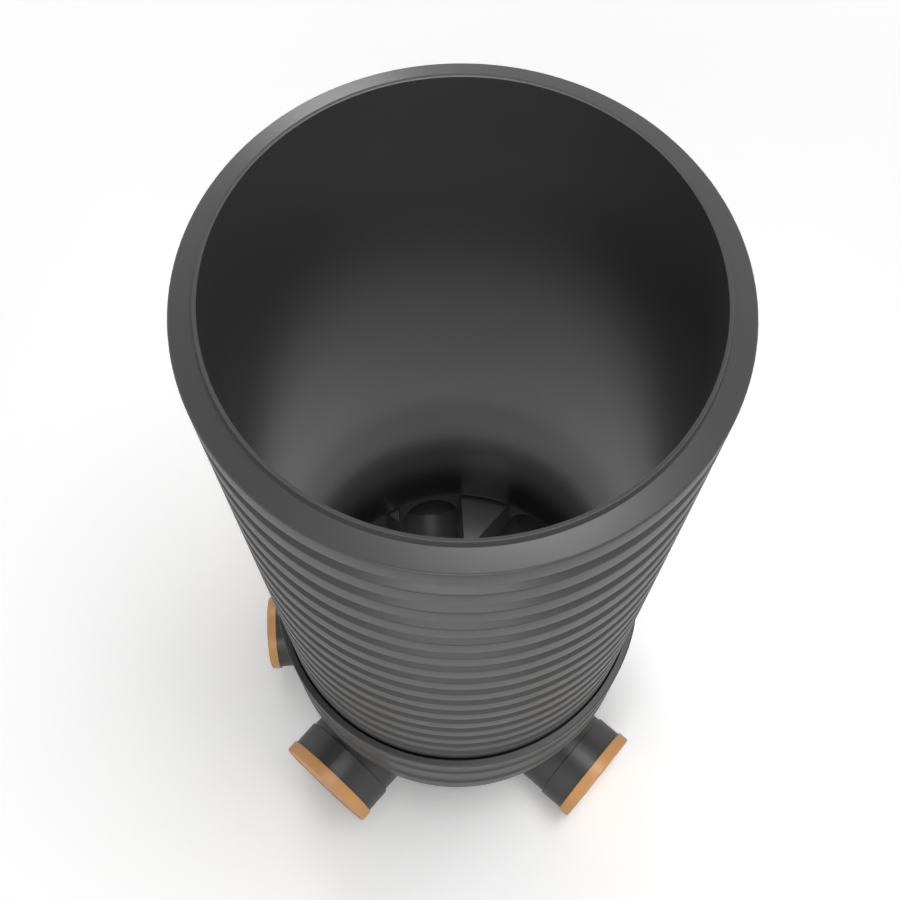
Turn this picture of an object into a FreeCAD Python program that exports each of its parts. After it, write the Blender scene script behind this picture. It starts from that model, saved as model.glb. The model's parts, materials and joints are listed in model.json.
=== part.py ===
import FreeCAD, Part
import math
import os

# Drain inspection chamber: a tapered base with one outlet and five inlets,
# a corrugated riser shaft standing in its collar, a lip seal in the groove of
# every pipe socket and a closed cap snapped over its mouth.
# Frame: +Z up, origin on the riser's axis at the level the base stands on,
# +X the way the water leaves. All sizes are in millimetres.

# Riser shaft
RISER_BORE_R = 250.0
RISER_LINER = 7.0
VALLEY_WALL = 10.0
RIB_HEIGHT = 20.0
RIB_PITCH = 57.2
RIB_CREST = 34.8
RIB_UPPER_FLANK = 13.0
RIB_LOWER_FLANK = 7.6
RIB_COUNT = 20
TOP_FLANK = 14.6
LINER_STAND = 10.0
LINER_BEVEL = 1.2

# Base body
SHOULDER_INSET = 8.6
BODY_TAPER = 40.0
BASE_WALL = 6.0
LEDGE_HEIGHT = 340.0
LEDGE_THICK = 7.0
LEDGE_REVEAL = 3.0

# Collar that takes the riser
COLLAR_GAP = 1.6
COLLAR_WALL = 8.3
COLLAR_HEIGHT = 235.3
COLLAR_SWELL = 3.0
COLLAR_LEAD = 1.2
COLLAR_LEAD_LENGTH = 12.0
COLLAR_LIP = 23.5
COLLAR_BEAD_DEPTHS = (68.2, 155.3)
COLLAR_BEADS = (40.0, 26.0)
COLLAR_RUN = 8.2
EDGE_R = 2.4

# Benching and channels
BENCH_HEIGHT = 310.6
BENCH_THICK = 6.0
CHANNEL_WALL = 6.0
CHANNEL_FLARE = 8.4
MAIN_AXIS = 103.5
SIDE_AXIS = 242.4
SWEPT_SETBACK = 47.6
CHUTE_ANGLE = 40.0
FOOT_PLATE = 4.7
FOOT_PLATE_ANGLES = (45.0, 112.5, 157.5, 202.5, 247.5, 315.0)

# Pipe sockets
LARGE_PIPE_R = 80.0
LARGE_PIPE_WALL = 4.7
LARGE_DEPTH = 90.0
LARGE_SLEEVE = 61.0
LARGE_REACH = 80.6
SMALL_PIPE_R = 55.0
SMALL_PIPE_WALL = 3.2
SMALL_DEPTH = 72.0
SMALL_SLEEVE = 50.0
SMALL_REACH = 35.2
SOCKET_CLEARANCE = 0.6
SOCKET_WALL = 5.3
SLEEVE_STEP = 2.9
SLEEVE_WALL = 4.1
SEAL_GROOVE = 20.0
SOCKET_BROW = 5.0

# Closed caps and lip seals
CAP_WALL = 2.7
CAP_PLATE = 2.6
CAP_RIM = 4.0
CAP_RIM_STAND = 1.4
LARGE_CAP_LENGTH = 20.0
SMALL_CAP_LENGTH = 16.1
CAP_EDGE_R = 2.0
SEAL_SQUEEZE = 1.5
SEAL_LIP = 2.0
SEAL_BODY = 2.8
SEAL_HEEL = 5.5
FIT_GAP = 0.3

# Riser seal
COUNT_OF_RIBS_UNDER_SEAL = 2
RISER_SEAL_GAP = 0.3
RISER_SEAL_LIP = 3.5

# Sizes that follow from those above
RISER_VALLEY_R = RISER_BORE_R + VALLEY_WALL
RISER_CREST_R = RISER_VALLEY_R + RIB_HEIGHT
LEDGE_BORE_R = RISER_BORE_R + LEDGE_REVEAL
COLLAR_BORE_R = RISER_CREST_R + COLLAR_GAP
SHOULDER_R = COLLAR_BORE_R - SHOULDER_INSET
FOOT_R = SHOULDER_R - BODY_TAPER
LARGE_MOUTH = SHOULDER_R + LARGE_REACH
SMALL_MOUTH = SHOULDER_R + SMALL_REACH

V = FreeCAD.Vector
X_AXIS = V(1, 0, 0)
Z_AXIS = V(0, 0, 1)
ORIGIN = V(0, 0, 0)


class PipeSize:
    """The radii and lengths that one size of pipe sets round a socket."""

    def __init__(self, pipe_r, pipe_wall, depth, sleeve, mouth, cap_length):
        self.pipe_r = pipe_r
        self.channel_r = pipe_r - pipe_wall
        self.bore_r = pipe_r + SOCKET_CLEARANCE
        self.neck_r = self.bore_r + SOCKET_WALL
        self.sleeve_r = self.neck_r + SLEEVE_STEP
        self.seat_r = self.sleeve_r - SLEEVE_WALL
        self.mouth = mouth
        self.stop = mouth - depth
        self.step = mouth - sleeve
        self.groove_front = mouth - SOCKET_BROW
        self.groove_back = self.groove_front - SEAL_GROOVE
        self.cap_length = cap_length


LARGE = PipeSize(LARGE_PIPE_R, LARGE_PIPE_WALL, LARGE_DEPTH, LARGE_SLEEVE, LARGE_MOUTH, LARGE_CAP_LENGTH)
SMALL = PipeSize(SMALL_PIPE_R, SMALL_PIPE_WALL, SMALL_DEPTH, SMALL_SLEEVE, SMALL_MOUTH, SMALL_CAP_LENGTH)

# Name, azimuth in degrees, start on the main axis, axis height, pipe size
SOCKETS = (
    ("outlet", 0.0, 0.0, MAIN_AXIS, LARGE),
    ("inlet_straight", 180.0, 0.0, MAIN_AXIS, LARGE),
    ("inlet_left_90", 90.0, 0.0, SIDE_AXIS, LARGE),
    ("inlet_right_90", 270.0, 0.0, SIDE_AXIS, LARGE),
    ("inlet_left_45", 135.0, -SWEPT_SETBACK, SIDE_AXIS, SMALL),
    ("inlet_right_45", 225.0, -SWEPT_SETBACK, SIDE_AXIS, SMALL),
)


def outline(corners):
    """Closed wire in the XZ plane through (x, z, corner radius) points."""
    count = len(corners)
    entries = []
    for i, (x, z, radius) in enumerate(corners):
        here = V(x, 0, z)
        if radius <= 0:
            entries.append((here, None, here))
            continue
        before = V(corners[i - 1][0], 0, corners[i - 1][1])
        after = V(corners[(i + 1) % count][0], 0, corners[(i + 1) % count][1])
        back = (before - here).normalize()
        ahead = (after - here).normalize()
        half = back.getAngle(ahead) / 2
        reach = radius / math.tan(half)
        middle = (back + ahead).normalize()
        through = here + middle * (radius / math.sin(half) - radius)
        entries.append((here + back * reach, through, here + ahead * reach))
    edges = []
    for i, (start, through, end) in enumerate(entries):
        if through is not None:
            edges.append(Part.Arc(start, through, end).toShape())
        following = entries[(i + 1) % count][0]
        edges.append(Part.LineSegment(end, following).toShape())
    return Part.Wire(edges)


def turned(corners):
    """Solid turned about Z from (radius, height, corner radius) points."""
    return Part.Face(outline(corners)).revolve(ORIGIN, Z_AXIS, 360)


def turned_along_x(corners):
    """Solid turned about X from (distance, radius, corner radius) points."""
    return Part.Face(outline(corners)).revolve(ORIGIN, X_AXIS, 360)


def along_socket(shape, socket):
    """Move a shape built along +X from the origin to a socket's own axis."""
    _, azimuth, start, height, _ = socket
    placed = shape.copy()
    placed.rotate(ORIGIN, Z_AXIS, azimuth)
    placed.translate(V(start, 0, height))
    return placed


def rod_x(radius, first, last):
    return Part.makeCylinder(radius, last - first, V(first, 0, 0), X_AXIS)


def body_radius(height):
    """Outside radius of the tapered body at a height."""
    return FOOT_R + (SHOULDER_R - FOOT_R) * height / LEDGE_HEIGHT


def cone_up(shrink, top):
    """Solid inside the body's outside surface, drawn in by shrink."""
    return Part.makeCone(body_radius(0) - shrink, body_radius(top) - shrink, top)


def rib_top(index):
    """Height of a rib's upper crest edge, counted up from the lowest rib."""
    valley = RIB_PITCH - RIB_CREST - RIB_UPPER_FLANK - RIB_LOWER_FLANK
    first = LEDGE_HEIGHT + valley / 2 + RIB_LOWER_FLANK + RIB_CREST
    return first + index * RIB_PITCH


def make_riser():
    """Twin-wall shaft: plain bore, flat-crested ribs, liner end standing proud."""
    liner_r = RISER_BORE_R + RISER_LINER
    shoulder = rib_top(RIB_COUNT - 1) + TOP_FLANK
    top = shoulder + LINER_STAND
    corners = [(RISER_BORE_R, LEDGE_HEIGHT, 0), (RISER_VALLEY_R, LEDGE_HEIGHT, 0)]
    for index in range(RIB_COUNT):
        high = rib_top(index)
        low = high - RIB_CREST
        corners.append((RISER_VALLEY_R, low - RIB_LOWER_FLANK, 0))
        corners.append((RISER_CREST_R, low, 0))
        corners.append((RISER_CREST_R, high, 0))
        if index < RIB_COUNT - 1:
            corners.append((RISER_VALLEY_R, high + RIB_UPPER_FLANK, 0))
    corners.append((liner_r, shoulder, 0))
    corners.append((liner_r, top, EDGE_R / 2))
    corners.append((RISER_BORE_R + LINER_BEVEL, top, 0))
    corners.append((RISER_BORE_R, top - LINER_BEVEL, 0))
    return turned(corners)


def make_riser_seal():
    """Rubber ring seated in a rib valley, its lip reaching for the collar."""
    below = rib_top(COUNT_OF_RIBS_UNDER_SEAL - 1)
    foot = below + RIB_UPPER_FLANK
    head = foot + RIB_PITCH - RIB_CREST - RIB_UPPER_FLANK - RIB_LOWER_FLANK
    lip_r = COLLAR_BORE_R - RISER_SEAL_GAP
    corners = [
        (RISER_VALLEY_R, foot, 0),
        (RISER_VALLEY_R, head, 0),
        (RISER_CREST_R, head + RIB_LOWER_FLANK, 0),
        (lip_r, head + RIB_LOWER_FLANK, 0),
        (lip_r, head + RIB_LOWER_FLANK - RISER_SEAL_LIP, 0),
        (RISER_CREST_R, below, 0),
    ]
    return turned(corners)


def make_body_shell():
    """Skirt, ledge and collar turned as one wall, open at foot and mouth."""
    top = LEDGE_HEIGHT + COLLAR_HEIGHT
    under = LEDGE_HEIGHT - LEDGE_THICK
    waist_r = COLLAR_BORE_R + COLLAR_WALL
    swell_r = waist_r + COLLAR_SWELL
    corners = [
        (FOOT_R - BASE_WALL, 0, 0),
        (FOOT_R, 0, 0),
        (body_radius(under), under, 0),
        (waist_r - COLLAR_SWELL, under, EDGE_R),
    ]
    for depth, length in reversed(list(zip(COLLAR_BEAD_DEPTHS, COLLAR_BEADS))):
        high = top - depth
        corners.append((waist_r, high - length - COLLAR_RUN, 0))
        corners.append((swell_r, high - length, 0))
        corners.append((swell_r, high, 0))
        corners.append((waist_r, high + COLLAR_RUN, 0))
    corners.append((waist_r, top - COLLAR_LIP - COLLAR_SWELL, 0))
    corners.append((swell_r, top - COLLAR_LIP, 0))
    corners.append((swell_r, top, EDGE_R))
    corners.append((COLLAR_BORE_R + COLLAR_LEAD, top, 0))
    corners.append((COLLAR_BORE_R, top - COLLAR_LEAD_LENGTH, 0))
    corners.append((COLLAR_BORE_R, LEDGE_HEIGHT, 0))
    corners.append((LEDGE_BORE_R, LEDGE_HEIGHT, 0))
    corners.append((LEDGE_BORE_R, under, 0))
    corners.append((body_radius(under) - BASE_WALL, under, 0))
    return turned(corners)


def inner_room():
    """Space inside the tapered wall, from the foot to under the ledge."""
    return cone_up(BASE_WALL, LEDGE_HEIGHT - LEDGE_THICK)


def crease_distance(socket):
    """Distance along a socket's axis of its bend, halfway through the wall."""
    _, azimuth, start, height, _ = socket
    radius = body_radius(height) - BASE_WALL / 2
    lead = start * math.cos(math.radians(azimuth))
    return -lead + math.sqrt(lead ** 2 - start ** 2 + radius ** 2)


def channel_run(socket, wall, room):
    """Channel from the socket's stop to the main axis, grown by wall: a round
    bottom that may pass the body's wall, and upright sides flared towards the
    benching, which end at room. A side channel falls from its bend as a chute."""
    _, _, _, height, size = socket
    radius = size.channel_r + wall
    fall = math.radians(CHUTE_ANGLE)
    bend = crease_distance(socket)
    drop = height - MAIN_AXIS
    low = bend - drop / math.tan(fall)
    runs = [(V(bend - radius * math.tan(fall / 2), 0, 0), V(size.stop, 0, 0))]
    bottoms = []
    if drop > 0:
        runs.append((V(0, 0, -drop), V(low, 0, -drop)))
        runs.append((V(low, 0, -drop), V(bend, 0, 0)))
        bottoms.append(Part.makeSphere(radius, V(low, 0, -drop)))
        under_bend = Part.makePolygon([V(low, -radius, -drop), V(bend, -radius, 0), V(low, -radius, 0), V(low, -radius, -drop)])
        bottoms.append(Part.Face(under_bend).extrude(V(0, 2 * radius, 0)))
    else:
        runs = [(V(0, 0, 0), V(size.stop, 0, 0))]
    side = V(0, radius, 0)
    sides = []
    for start, end in runs:
        run = end - start
        bottoms.append(Part.makeCylinder(radius, run.Length, start, run))
        sheet = Part.makePolygon([start - side, end - side, end + side, start + side, start - side])
        sides.append(Part.Face(sheet).extrude(V(0, 0, LEDGE_HEIGHT)))
    foot = max(SIDE_AXIS, height) - height
    head = BENCH_HEIGHT - height
    wide = radius + CHANNEL_FLARE
    flare = [V(0, -radius, foot), V(0, radius, foot), V(0, wide, head), V(0, -wide, head)]
    flare.append(flare[0])
    sides.append(Part.Face(Part.makePolygon(flare)).extrude(V(size.stop, 0, 0)))
    upright = along_socket(sides[0].fuse(sides[1:]), socket).common(room)
    bottoms = [along_socket(piece, socket) for piece in bottoms]
    return upright.fuse(bottoms)


def socket_walls(socket):
    """Neck and thicker sleeve, turned with the stop, the bore and the groove."""
    size = socket[4]
    corners = [
        (0, size.channel_r, 0),
        (size.stop, size.channel_r, 0),
        (size.stop, size.bore_r, 0),
        (size.groove_back, size.bore_r, 0),
        (size.groove_back, size.seat_r, 0),
        (size.groove_front, size.seat_r, 0),
        (size.groove_front, size.bore_r, 0),
        (size.mouth, size.bore_r, 0),
        (size.mouth, size.sleeve_r, 0),
        (size.step, size.sleeve_r, EDGE_R / 2),
        (size.step, size.neck_r, 0),
        (0, size.neck_r, 0),
    ]
    return along_socket(turned_along_x(corners), socket)


def make_base():
    """One moulding: wall, benching, channels, socket necks and foot plates."""
    room = inner_room()
    under_bench = cone_up(BASE_WALL / 2, BENCH_HEIGHT - BENCH_THICK)
    to_bench = cone_up(BASE_WALL / 2, BENCH_HEIGHT)
    parts = [to_bench.cut(under_bench)]
    hollows = []
    for socket in SOCKETS:
        size = socket[4]
        parts.append(socket_walls(socket).cut(room))
        parts.append(channel_run(socket, CHANNEL_WALL, to_bench))
        hollows.append(channel_run(socket, 0.0, room))
        hollows.append(along_socket(rod_x(size.bore_r, size.stop, size.mouth), socket))
    for angle in FOOT_PLATE_ANGLES:
        plate = Part.makeBox(FOOT_R, FOOT_PLATE, BENCH_HEIGHT, V(0, -FOOT_PLATE / 2, 0))
        plate.rotate(ORIGIN, Z_AXIS, angle)
        parts.append(plate.common(to_bench))
    solid = make_body_shell().fuse(parts)
    for hollow in hollows:
        solid = solid.cut(hollow)
    return solid.removeSplitter()


def make_cap(socket):
    """Closed cap: a skirt over the sleeve, a plate and a rim round its face."""
    size = socket[4]
    skirt_in = size.sleeve_r + FIT_GAP
    skirt_out = skirt_in + CAP_WALL
    face = size.mouth + CAP_PLATE
    front = face + CAP_RIM_STAND
    rear = front - size.cap_length
    corners = [
        (size.mouth, 0, 0),
        (face, 0, 0),
        (face, skirt_out - CAP_RIM, 0),
        (front, skirt_out - CAP_RIM, 0),
        (front, skirt_out, CAP_EDGE_R),
        (rear, skirt_out, CAP_EDGE_R / 2),
        (rear, skirt_in, 0),
        (size.mouth, skirt_in, 0),
    ]
    return along_socket(turned_along_x(corners), socket)


def make_lip_seal(socket):
    """Ring in the socket's groove, its lip leaning in to meet the pipe."""
    size = socket[4]
    front = size.groove_front - FIT_GAP
    back = size.groove_back + FIT_GAP
    seat_r = size.seat_r - FIT_GAP
    lip_r = size.pipe_r - SEAL_SQUEEZE
    corners = [
        (back, seat_r - SEAL_BODY, 0),
        (back, seat_r, 0),
        (front, seat_r, 0),
        (front, seat_r - SEAL_BODY, 0),
        (front - SEAL_HEEL, seat_r - SEAL_BODY, 0),
        (back + SEAL_HEEL, lip_r, 0),
        (back + SEAL_HEEL - SEAL_LIP, lip_r, 0),
        (back + SEAL_HEEL, seat_r - SEAL_BODY, 0),
    ]
    return along_socket(turned_along_x(corners), socket)


def write(name, shape):
    solids = shape.Solids
    if len(solids) != 1 or not shape.isValid():
        raise ValueError("%s is not one sound solid: %d" % (name, len(solids)))
    solids[0].exportStep(os.path.join("parts", name + ".step"))
    box = solids[0].BoundBox
    print(name, round(solids[0].Volume / 1000, 1), "cm3", len(solids[0].Faces), "faces", box)


os.makedirs("parts", exist_ok=True)
write("chamber_base", make_base())
write("riser_shaft", make_riser())
write("riser_seal", make_riser_seal())
for socket in SOCKETS:
    write(socket[0] + "_cap", make_cap(socket))
    write(socket[0] + "_seal", make_lip_seal(socket))
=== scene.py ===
import json
import math

import bpy
import numpy as np
from bpy.props import FloatProperty, FloatVectorProperty, IntProperty, PointerProperty
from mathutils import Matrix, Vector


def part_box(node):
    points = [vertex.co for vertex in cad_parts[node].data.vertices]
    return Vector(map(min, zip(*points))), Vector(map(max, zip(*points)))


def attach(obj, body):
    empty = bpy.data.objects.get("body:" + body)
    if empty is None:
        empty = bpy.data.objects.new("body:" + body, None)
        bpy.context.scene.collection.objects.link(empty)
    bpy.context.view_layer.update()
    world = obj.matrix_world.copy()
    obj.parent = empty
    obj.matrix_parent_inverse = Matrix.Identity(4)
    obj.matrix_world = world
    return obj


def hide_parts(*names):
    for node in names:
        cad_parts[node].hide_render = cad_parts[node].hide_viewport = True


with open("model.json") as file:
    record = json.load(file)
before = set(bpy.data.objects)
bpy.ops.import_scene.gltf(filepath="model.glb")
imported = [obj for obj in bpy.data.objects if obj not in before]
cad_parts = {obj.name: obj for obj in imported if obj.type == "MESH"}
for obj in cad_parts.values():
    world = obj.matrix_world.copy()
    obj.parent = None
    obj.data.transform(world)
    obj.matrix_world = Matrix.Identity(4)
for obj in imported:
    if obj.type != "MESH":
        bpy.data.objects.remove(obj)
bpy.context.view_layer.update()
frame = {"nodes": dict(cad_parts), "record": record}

bl_info = {
    "name": "Drain Inspection Chamber",
    "version": (1, 0, 0),
    "blender": (4, 5, 0),
    "location": "View3D > Sidebar > Chamber",
    "description": "Finishes a drain inspection chamber: riser, base, caps and seals",
    "category": "Add Mesh",
}

MOUNTS = {mount["name"]: mount for mount in frame["record"]["mounts"]}
SOCKETS = (
    "outlet", "inlet_straight", "inlet_left_90", "inlet_right_90",
    "inlet_left_45", "inlet_right_45",
)
SEALS = ("riser_seal", *(socket + "_seal" for socket in SOCKETS))
RISER_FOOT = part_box("riser_shaft")[0].z
RISER_BORE = MOUNTS["riser_mouth"]["dims"]["r_mm"] / 1000

# Roundings of the riser's corners, in metres
VALLEY_ROUND = 0.0007
LOWER_CREST_ROUND = 0.0022
UPPER_CREST_ROUND = 0.003
SHOULDER_ROUND = 0.0008
LINER_OUTER_ROUND = 0.0004
LINER_INNER_ROUND = 0.0005
FOOT_INNER_ROUND = 0.0008
FOOT_OUTER_ROUND = 0.0003

# How far the liner's inner edge lies below its outer one
LINER_EASE = 0.0008

# Points on each rounded corner, and the distance at which two points are one
ARC_STEPS = 5
SAME_POINT = 1e-7

# Depth of the moulding grain, in metres, and the share of it that shows
RISER_GRAIN = 0.00008
BASE_GRAIN = 0.0001
CAP_GRAIN = 0.00006
SEAL_GRAIN = 0.00006
GRAIN_STRENGTH = 0.5
SEAL_ROUGHNESS = 0.6

# Levels of detail in the fine grain and in the broad mottling
GRAIN_DETAIL = 3
MOTTLE_DETAIL = 5

# Each lamp's name, which is also its power's name on the stage, its width, height and place
LAMPS = (
    ("overhead", 2.0, 2.0, (0.46, 0.39, 4.95)),
    ("front", 2.6, 0.9, (2.055, -2.449, 2.824)),
    ("back", 1.0, 1.0, (-2.752, 1.72, 2.711)),
)
LAMP_TARGET = (0, 0, 1.2)

# Each riser fill's height and its share of their power
RISER_FILLS = ((0.42, 0.2), (0.55, 0.55), (0.70, 0.25))
RISER_FILL_WIDTH = 0.46
BENCH_FILL_WIDTH = 0.4
BENCH_FILL_HEIGHT = 0.36
SHINING_UP = math.pi
SHINING_DOWN = 0

# The surround shows white up to the first angle above level, and plain above the second
WHITE_BELOW = math.radians(28)
PLAIN_ABOVE = math.radians(46)

# The floor is its own colour inside the first distance, and white outside the second
FLOOR_REACH = 12.0
FLOOR_COLOUR = 0.8
FLOOR_SEEN_GAIN = 0.48
FLOOR_ROUGHNESS = 0.9
SHADOW_KEPT = 0.9
WHITE_BEYOND = 2.6

SENSOR_WIDTH = 36


class ChamberSizes(bpy.types.PropertyGroup):
    """Sizes of the riser's ribs, wall and liner."""

    around: IntProperty(
        name="Steps Around", description="Grid steps around the riser", default=200, min=24)
    rib_crest: FloatProperty(
        name="Rib Crest Radius", description="Outside radius of the riser's ribs",
        default=0.28, unit="LENGTH")
    rib_valley: FloatProperty(
        name="Rib Valley Radius", description="Outside radius between two ribs",
        default=0.26, unit="LENGTH")
    rib_pitch: FloatProperty(
        name="Rib Pitch", description="Distance from one rib to the next",
        default=0.0579, unit="LENGTH")
    rib_land: FloatProperty(
        name="Rib Land", description="Height of a rib's flat crest",
        default=0.0305, unit="LENGTH")
    rib_lower: FloatProperty(
        name="Lower Flank", description="Height of a rib's lower flank",
        default=0.0076, unit="LENGTH")
    rib_upper: FloatProperty(
        name="Upper Flank", description="Height of a rib's upper flank",
        default=0.0173, unit="LENGTH")
    top_flank: FloatProperty(
        name="Top Flank", description="Height of the sloping shoulder above the last rib",
        default=0.0052, unit="LENGTH")
    liner: FloatProperty(
        name="Liner", description="Wall of the plain inner liner at the shoulder",
        default=0.006, unit="LENGTH")
    liner_end: FloatProperty(
        name="Liner End", description="Wall of the liner's drawn-in end",
        default=0.004, unit="LENGTH")
    liner_stand: FloatProperty(
        name="Liner Stand", description="How far the liner's end stands above the shoulder",
        default=0.0082, unit="LENGTH")
    rib_count: IntProperty(
        name="Ribs", description="Number of ribs on the riser", default=20, min=1)


class ChamberFinish(bpy.types.PropertyGroup):
    """Colours and roughness of the mouldings and seals."""

    riser: FloatVectorProperty(
        name="Riser Plastic", description="Dark grey of the riser", subtype="COLOR", size=3,
        default=(0.05, 0.05, 0.05), min=0, max=1)
    body: FloatVectorProperty(
        name="Base Plastic", description="Dark grey of the base moulding", subtype="COLOR",
        size=3, default=(0.048, 0.048, 0.048), min=0, max=1)
    cap: FloatVectorProperty(
        name="Cap Plastic", description="Orange-brown of the closing caps", subtype="COLOR",
        size=3, default=(0.8, 0.4, 0.145), min=0, max=1)
    rubber: FloatVectorProperty(
        name="Seal Rubber", description="Black of the seals", subtype="COLOR", size=3,
        default=(0.018, 0.018, 0.018), min=0, max=1)
    riser_gloss: FloatProperty(
        name="Riser Roughness", description="Roughness of the riser's plastic",
        default=0.34, subtype="FACTOR", min=0, max=1)
    body_gloss: FloatProperty(
        name="Base Roughness", description="Roughness of the base's plastic",
        default=0.38, subtype="FACTOR", min=0, max=1)
    cap_gloss: FloatProperty(
        name="Cap Roughness", description="Roughness of the caps' plastic",
        default=0.36, subtype="FACTOR", min=0, max=1)


class ChamberStage(bpy.types.PropertyGroup):
    """Camera place and lamp strengths."""

    lens: FloatProperty(
        name="Lens", description="Focal length for a 36 mm sensor",
        default=48.722, unit="CAMERA")
    reach: FloatProperty(
        name="Camera Reach", description="Camera's distance from the riser's axis",
        default=0.6034, unit="LENGTH")
    height: FloatProperty(
        name="Camera Height", description="Camera's height above the floor",
        default=2.4769, unit="LENGTH")
    azimuth: FloatProperty(
        name="Camera Azimuth", description="Direction from the riser's axis to the camera",
        default=math.radians(-50), subtype="ANGLE")
    heading: FloatProperty(
        name="Camera Heading", description="Direction that the camera looks in, seen from above",
        default=math.radians(131.131), subtype="ANGLE")
    tilt: FloatProperty(
        name="Camera Tilt", description="Angle of the view below level",
        default=math.radians(66.127), subtype="ANGLE")
    sky: FloatProperty(
        name="Sky", description="Strength at which the white surround lights the chamber",
        default=0.2, min=0)
    overhead: FloatProperty(
        name="Overhead Lamp", description="Power of the large lamp overhead",
        default=117, unit="POWER")
    front: FloatProperty(
        name="Front Lamp", description="Power of the wide lamp before the chamber",
        default=42, unit="POWER")
    back: FloatProperty(
        name="Back Lamp", description="Power of the small lamp behind the chamber",
        default=22, unit="POWER")
    fill: FloatProperty(
        name="Riser Fill", description="Power of the soft fills that shine up inside the riser",
        default=0.37, unit="POWER")
    bench: FloatProperty(
        name="Bench Fill", description="Power of the soft fill that shines down on the benches",
        default=0.45, unit="POWER")


def rounded_section(corners):
    """Closed (radius, height) section with round corners. Each corner has its own
    rounding, and its arc is centre + rounding * (cos, sin) swept between the two
    directions from the arc's centre to where it touches the sides."""
    corners = np.asarray(corners, float)
    here, rounding = corners[:, :2], corners[:, 2]
    back = np.roll(here, 1, 0) - here
    ahead = np.roll(here, -1, 0) - here
    back /= np.linalg.norm(back, axis=1)[:, None]
    ahead /= np.linalg.norm(ahead, axis=1)[:, None]
    half = np.arccos(np.clip((back * ahead).sum(1), -1, 1)) / 2
    middle = back + ahead
    middle /= np.linalg.norm(middle, axis=1)[:, None]
    centre = here + middle * (rounding / np.sin(half))[:, None]
    start = here + back * (rounding / np.tan(half))[:, None] - centre
    end = here + ahead * (rounding / np.tan(half))[:, None] - centre
    first = np.arctan2(start[:, 1], start[:, 0])
    turn = np.arctan2(end[:, 1], end[:, 0]) - first
    turn = (turn + np.pi) % (2 * np.pi) - np.pi
    angle = first[:, None] + turn[:, None] * np.linspace(0, 1, ARC_STEPS)[None, :]
    spokes = np.stack([np.cos(angle), np.sin(angle)], -1)
    arcs = spokes * rounding[:, None, None] + centre[:, None, :]
    points = arcs.reshape(-1, 2)
    apart = np.linalg.norm(points - np.roll(points, 1, 0), axis=1) > SAME_POINT
    return points[apart]


def turned_piece(name, section, around):
    """Ring-shaped piece about the Z axis: point(u, v) = (radius(v) * cos u,
    radius(v) * sin u, height(v)), for u around the axis and v around the closed
    section, joined to itself both ways. A section that runs clockwise is turned
    round first, so that the faces point outwards."""
    ahead = np.roll(section, -1, 0)
    twice_area = ahead[:, 0] * section[:, 1] - section[:, 0] * ahead[:, 1]
    if twice_area.sum() > 0:
        section = section[::-1]
    radius, height = section.T
    angle = np.linspace(0, 2 * np.pi, around, endpoint=False)
    grid = np.stack([
        np.cos(angle)[:, None] * radius,
        np.sin(angle)[:, None] * radius,
        np.broadcast_to(height, (around, len(height))),
    ], -1)
    index = np.arange(around * len(section)).reshape(around, len(section))
    next_up = np.roll(index, -1, 1)
    faces = np.stack([index, next_up, np.roll(next_up, -1, 0), np.roll(index, -1, 0)], -1)
    return mesh_piece(name, grid.reshape(-1, 3), faces.reshape(-1, 4))


def mesh_piece(name, points, faces):
    """Mesh object from an array of points and an array of four-sided faces."""
    mesh = bpy.data.meshes.new(name)
    mesh.vertices.add(len(points))
    mesh.vertices.foreach_set("co", np.ascontiguousarray(points, np.float32).ravel())
    mesh.loops.add(faces.size)
    mesh.loops.foreach_set("vertex_index", np.ascontiguousarray(faces, np.int32).ravel())
    mesh.polygons.add(len(faces))
    mesh.polygons.foreach_set("loop_start", np.arange(0, faces.size, 4, dtype=np.int32))
    mesh.polygons.foreach_set("use_smooth", np.ones(len(faces), bool))
    mesh.update(calc_edges=True)
    mesh.validate()
    piece = bpy.data.objects.new(name, mesh)
    bpy.context.scene.collection.objects.link(piece)
    return piece


def dress(piece, material):
    """Give a piece one material in place of those it has."""
    piece.data.materials.clear()
    piece.data.materials.append(material)


def finish_piece(piece, material, node):
    """Dress a new piece and let it stand for a node of the solid model."""
    dress(piece, material)
    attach(piece, "root")
    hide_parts(node)


def riser_section(sizes):
    """Closed section of the riser's wall: foot, ribs from the lowest up, the
    sloping shoulder above the last rib and the liner's proud, eased end. Each
    corner is a radius, a height and a rounding."""
    crest, valley = sizes.rib_crest, sizes.rib_valley
    valley_gap = sizes.rib_pitch - sizes.rib_land - sizes.rib_lower - sizes.rib_upper
    first = RISER_FOOT + valley_gap / 2
    rib = np.array([
        [valley, 0, VALLEY_ROUND],
        [crest, sizes.rib_lower, LOWER_CREST_ROUND],
        [crest, sizes.rib_lower + sizes.rib_land, UPPER_CREST_ROUND],
        [valley, sizes.rib_pitch - valley_gap, VALLEY_ROUND],
    ])
    ribs = np.tile(rib, (sizes.rib_count, 1))
    ribs[:, 1] += first + np.repeat(np.arange(sizes.rib_count), len(rib)) * sizes.rib_pitch
    last_crest = ribs[-2, 1]
    shoulder = last_crest + sizes.top_flank
    top = shoulder + sizes.liner_stand
    foot = np.array([
        [RISER_BORE, RISER_FOOT, FOOT_INNER_ROUND],
        [valley, RISER_FOOT, FOOT_OUTER_ROUND],
    ])
    head = np.array([
        [RISER_BORE + sizes.liner, shoulder, SHOULDER_ROUND],
        [RISER_BORE + sizes.liner_end, top, LINER_OUTER_ROUND],
        [RISER_BORE, top - LINER_EASE, LINER_INNER_ROUND],
    ])
    return rounded_section(np.vstack([foot, ribs[:-1], head]))


def combine(tree, operation, *values):
    """Output of a math node that takes sockets and plain numbers."""
    node = tree.nodes.new("ShaderNodeMath")
    node.operation = operation
    for place, value in zip(node.inputs, values):
        if isinstance(value, bpy.types.NodeSocket):
            tree.links.new(value, place)
        else:
            place.default_value = value
    return node.outputs[0]


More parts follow.
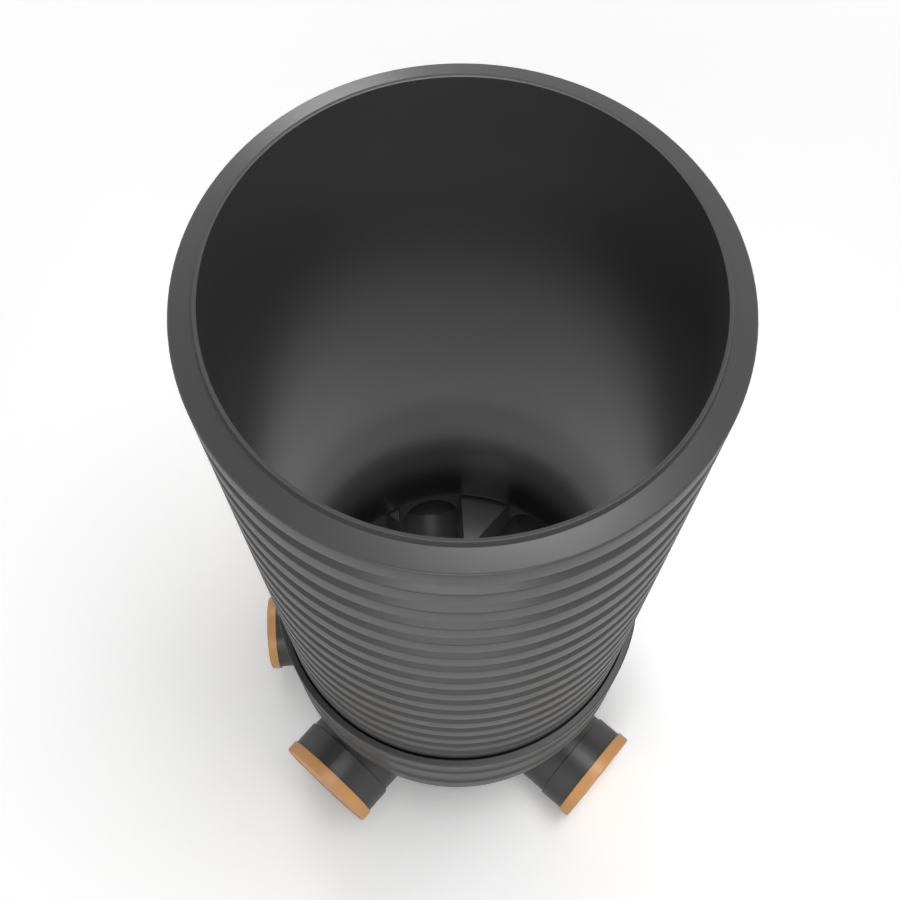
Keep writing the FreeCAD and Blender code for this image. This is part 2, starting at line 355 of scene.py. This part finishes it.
def smooth_step(tree, value, low, high, start, end):
    """Output that goes smoothly from start to end as the value goes from low to high."""
    node = tree.nodes.new("ShaderNodeMapRange")
    node.interpolation_type = "SMOOTHSTEP"
    node.inputs["From Min"].default_value = low
    node.inputs["From Max"].default_value = high
    node.inputs["To Min"].default_value = start
    node.inputs["To Max"].default_value = end
    tree.links.new(value, node.inputs["Value"])
    return node.outputs["Result"]


def seen_rays(tree):
    """Output that is 1 for camera, glossy and transmission rays and 0 for the rest."""
    path = tree.nodes.new("ShaderNodeLightPath")
    seen = path.outputs["Is Camera Ray"]
    for name in ("Is Glossy Ray", "Is Transmission Ray"):
        seen = combine(tree, "MAXIMUM", seen, path.outputs[name])
    return seen


def node_group(name, inputs, outputs):
    """Empty shader group with named, typed inputs and outputs."""
    group = bpy.data.node_groups.new(name, "ShaderNodeTree")
    for label, kind, value in inputs:
        socket = group.interface.new_socket(label, in_out="INPUT", socket_type=kind)
        socket.default_value = value
    for label, kind in outputs:
        group.interface.new_socket(label, in_out="OUTPUT", socket_type=kind)
    return group, group.nodes.new("NodeGroupInput"), group.nodes.new("NodeGroupOutput")


def noise(tree, scale, detail):
    """Noise from 0 to 1 on Object coordinates, at the scale that a socket gives."""
    coords = tree.nodes.new("ShaderNodeTexCoord")
    texture = tree.nodes.new("ShaderNodeTexNoise")
    texture.inputs["Detail"].default_value = detail
    tree.links.new(coords.outputs["Object"], texture.inputs["Vector"])
    tree.links.new(scale, texture.inputs["Scale"])
    return texture.outputs["Fac"]


def moulded_grain():
    """Fine moulding grain and broad faint mottling. With m the mottling less a half,
    roughness = given + m * its spread and colour = given * (1 + m * its spread)."""
    name = "Moulded Grain"
    if name in bpy.data.node_groups:
        return bpy.data.node_groups[name]
    number, colour = "NodeSocketFloat", "NodeSocketColor"
    group, given, out = node_group(
        name,
        [
            ("Grain Scale", number, 900.0),
            ("Mottle Scale", number, 9.0),
            ("Roughness", number, 0.42),
            ("Roughness Spread", number, 0.06),
            ("Colour", colour, (0.05, 0.05, 0.05, 1)),
            ("Colour Spread", number, 0.08),
        ],
        [("Colour", colour), ("Roughness", number), ("Height", number)])
    grain = noise(group, given.outputs["Grain Scale"], GRAIN_DETAIL)
    mottle = combine(
        group, "SUBTRACT", noise(group, given.outputs["Mottle Scale"], MOTTLE_DETAIL), 0.5)
    rough = combine(
        group, "MULTIPLY_ADD", mottle,
        given.outputs["Roughness Spread"], given.outputs["Roughness"])
    gain = combine(group, "MULTIPLY_ADD", mottle, given.outputs["Colour Spread"], 1.0)
    tint = group.nodes.new("ShaderNodeVectorMath")
    tint.operation = "SCALE"
    group.links.new(given.outputs["Colour"], tint.inputs[0])
    group.links.new(gain, tint.inputs["Scale"])
    group.links.new(tint.outputs[0], out.inputs["Colour"])
    group.links.new(rough, out.inputs["Roughness"])
    group.links.new(grain, out.inputs["Height"])
    return group


def plastic(name, colour, roughness, grain_depth):
    """Moulded plastic or rubber: one Principled shader fed by the grain group."""
    if name in bpy.data.materials:
        return bpy.data.materials[name]
    material = bpy.data.materials.new(name)
    material.use_nodes = True
    nodes, links = material.node_tree.nodes, material.node_tree.links
    shader = nodes["Principled BSDF"]
    grain = nodes.new("ShaderNodeGroup")
    grain.node_tree = moulded_grain()
    grain.inputs["Colour"].default_value = (*colour, 1)
    grain.inputs["Roughness"].default_value = roughness
    bump = nodes.new("ShaderNodeBump")
    bump.inputs["Distance"].default_value = grain_depth
    bump.inputs["Strength"].default_value = GRAIN_STRENGTH
    links.new(grain.outputs["Colour"], shader.inputs["Base Color"])
    links.new(grain.outputs["Roughness"], shader.inputs["Roughness"])
    links.new(grain.outputs["Height"], bump.inputs["Height"])
    links.new(bump.outputs["Normal"], shader.inputs["Normal"])
    return material


def even_surround(sky):
    """White world that lights the chamber at the sky's strength. What is seen of it
    near level is full white: strength = sky + (1 - sky) * seen * low, where low falls
    from 1 to 0 with the direction's height, which is the sine of its angle."""
    world = bpy.data.worlds.new("Even Surround")
    world.use_nodes = True
    tree = world.node_tree
    background = tree.nodes["Background"]
    background.inputs["Color"].default_value = (1, 1, 1, 1)
    direction = tree.nodes.new("ShaderNodeTexCoord")
    split = tree.nodes.new("ShaderNodeSeparateXYZ")
    tree.links.new(direction.outputs["Generated"], split.inputs[0])
    low = smooth_step(
        tree, split.outputs["Z"], math.sin(WHITE_BELOW), math.sin(PLAIN_ABOVE), 1, 0)
    backdrop = combine(tree, "MULTIPLY", low, seen_rays(tree))
    strength = combine(tree, "MULTIPLY_ADD", backdrop, 1 - sky, sky)
    tree.links.new(strength, background.inputs["Strength"])
    return world


def floor_material():
    """Pale floor that keeps the shadow near the chamber and is seen as plain white
    further off. The white's share is seen * far, where far rises from 0 to 1 with the
    distance from the centre."""
    material = bpy.data.materials.new("Pale Floor")
    material.use_nodes = True
    tree = material.node_tree
    nodes, links = tree.nodes, tree.links
    shader = nodes["Principled BSDF"]
    shader.inputs["Roughness"].default_value = FLOOR_ROUGHNESS
    shader.inputs["Specular IOR Level"].default_value = 0
    camera_ray = nodes.new("ShaderNodeLightPath").outputs["Is Camera Ray"]
    pale = combine(tree, "MULTIPLY_ADD", camera_ray, FLOOR_SEEN_GAIN, FLOOR_COLOUR)
    links.new(pale, shader.inputs["Base Color"])
    coords = nodes.new("ShaderNodeTexCoord")
    distance = nodes.new("ShaderNodeVectorMath")
    distance.operation = "LENGTH"
    links.new(coords.outputs["Object"], distance.inputs[0])
    far = smooth_step(tree, distance.outputs["Value"], SHADOW_KEPT, WHITE_BEYOND, 0, 1)
    white = nodes.new("ShaderNodeEmission")
    white.inputs["Strength"].default_value = 1
    mixed = nodes.new("ShaderNodeMixShader")
    links.new(combine(tree, "MULTIPLY", far, seen_rays(tree)), mixed.inputs["Fac"])
    links.new(shader.outputs[0], mixed.inputs[1])
    links.new(white.outputs[0], mixed.inputs[2])
    links.new(mixed.outputs[0], nodes["Material Output"].inputs["Surface"])
    return material


def area_lamp(name, power, place, turn):
    """Lamp at a place, turned from shining straight down."""
    light = bpy.data.objects.new(name, bpy.data.lights.new(name, "AREA"))
    light.data.energy = power
    light.location = place
    light.rotation_euler = turn
    bpy.context.scene.collection.objects.link(light)
    return light


def oblong_lamp(name, power, width, height, place):
    """Oblong lamp that shines on the lamps' target."""
    aim = np.asarray(LAMP_TARGET, float) - np.asarray(place, float)
    tilt = math.pi / 2 + math.atan2(aim[2], math.hypot(aim[0], aim[1]))
    heading = math.atan2(aim[1], aim[0]) - math.pi / 2
    light = area_lamp(name, power, place, (tilt, 0, heading))
    light.data.shape = "RECTANGLE"
    light.data.size = width
    light.data.size_y = height


def fill_lamp(name, power, width, height, turn):
    """Round lamp on the riser's axis that the camera doesn't see."""
    light = area_lamp(name, power, (0, 0, height), (turn, 0, 0))
    light.data.shape = "DISK"
    light.data.size = width
    light.visible_camera = False


def stage_camera(stage):
    """Camera at the stage's place, looking in its heading and down by its tilt."""
    camera = bpy.data.objects.new("camera", bpy.data.cameras.new("camera"))
    camera.data.lens = stage.lens
    camera.data.sensor_width = SENSOR_WIDTH
    camera.location = (
        stage.reach * math.cos(stage.azimuth),
        stage.reach * math.sin(stage.azimuth),
        stage.height,
    )
    camera.rotation_euler = (math.pi / 2 - stage.tilt, 0, stage.heading - math.pi / 2)
    bpy.context.scene.collection.objects.link(camera)
    return camera


class CHAMBER_OT_riser(bpy.types.Operator):
    """Build the corrugated riser shaft"""

    bl_idname = "chamber.riser"
    bl_label = "Riser Shaft"

    def execute(self, context):
        sizes, finish = context.scene.chamber_sizes, context.scene.chamber_finish
        piece = turned_piece("riser_pipe", riser_section(sizes), sizes.around)
        material = plastic("Riser Polypropylene", finish.riser, finish.riser_gloss, RISER_GRAIN)
        finish_piece(piece, material, "riser_shaft")
        return {"FINISHED"}


class CHAMBER_OT_base(bpy.types.Operator):
    """Finish the base moulding and the seals"""

    bl_idname = "chamber.base"
    bl_label = "Base Moulding"

    def execute(self, context):
        finish = context.scene.chamber_finish
        moulding = plastic("Base Polypropylene", finish.body, finish.body_gloss, BASE_GRAIN)
        dress(frame["nodes"]["chamber_base"], moulding)
        rubber = plastic("Seal Rubber", finish.rubber, SEAL_ROUGHNESS, SEAL_GRAIN)
        for name in SEALS:
            dress(frame["nodes"][name], rubber)
        return {"FINISHED"}


class CHAMBER_OT_caps(bpy.types.Operator):
    """Finish the closed caps on the pipe sockets"""

    bl_idname = "chamber.caps"
    bl_label = "Socket Caps"

    def execute(self, context):
        finish = context.scene.chamber_finish
        material = plastic("Cap Polypropylene", finish.cap, finish.cap_gloss, CAP_GRAIN)
        for name in SOCKETS:
            dress(frame["nodes"][name + "_cap"], material)
        return {"FINISHED"}


class CHAMBER_OT_stage(bpy.types.Operator):
    """Set the surround, the floor, the lamps and the camera"""

    bl_idname = "chamber.stage"
    bl_label = "Stage"

    def execute(self, context):
        scene, stage = context.scene, context.scene.chamber_stage
        scene.view_settings.view_transform = "Standard"
        scene.world = even_surround(stage.sky)
        corners = np.array([[-1, -1, 0], [1, -1, 0], [1, 1, 0], [-1, 1, 0]]) * FLOOR_REACH
        floor = mesh_piece("floor", corners, np.array([[0, 1, 2, 3]]))
        floor.data.materials.append(floor_material())
        for name, width, height, place in LAMPS:
            oblong_lamp(name, getattr(stage, name), width, height, place)
        for height, share in RISER_FILLS:
            name = "riser_fill_%d" % round(height * 100)
            fill_lamp(name, stage.fill * share, RISER_FILL_WIDTH, height, SHINING_UP)
        fill_lamp("bench_fill", stage.bench, BENCH_FILL_WIDTH, BENCH_FILL_HEIGHT, SHINING_DOWN)
        scene.camera = stage_camera(stage)
        return {"FINISHED"}


class CHAMBER_PT_panel(bpy.types.Panel):
    """Sizes, finishes and stage of the chamber"""

    bl_label = "Drain Inspection Chamber"
    bl_idname = "CHAMBER_PT_panel"
    bl_space_type = "VIEW_3D"
    bl_region_type = "UI"
    bl_category = "Chamber"

    def draw(self, context):
        scene = context.scene
        for group in (scene.chamber_sizes, scene.chamber_finish, scene.chamber_stage):
            box = self.layout.box()
            for key in group.__annotations__:
                box.prop(group, key)
        for step in STEPS:
            self.layout.operator(step.bl_idname)


STEPS = (CHAMBER_OT_riser, CHAMBER_OT_base, CHAMBER_OT_caps, CHAMBER_OT_stage)
CLASSES = (ChamberSizes, ChamberFinish, ChamberStage, *STEPS, CHAMBER_PT_panel)


def register():
    for cls in CLASSES:
        bpy.utils.register_class(cls)
    bpy.types.Scene.chamber_sizes = PointerProperty(type=ChamberSizes)
    bpy.types.Scene.chamber_finish = PointerProperty(type=ChamberFinish)
    bpy.types.Scene.chamber_stage = PointerProperty(type=ChamberStage)


def unregister():
    del bpy.types.Scene.chamber_stage
    del bpy.types.Scene.chamber_finish
    del bpy.types.Scene.chamber_sizes
    for cls in reversed(CLASSES):
        bpy.utils.unregister_class(cls)


def main():
    register()
    bpy.ops.chamber.riser()
    bpy.ops.chamber.base()
    bpy.ops.chamber.caps()
    bpy.ops.chamber.stage()


if __name__ == "__main__":
    main()
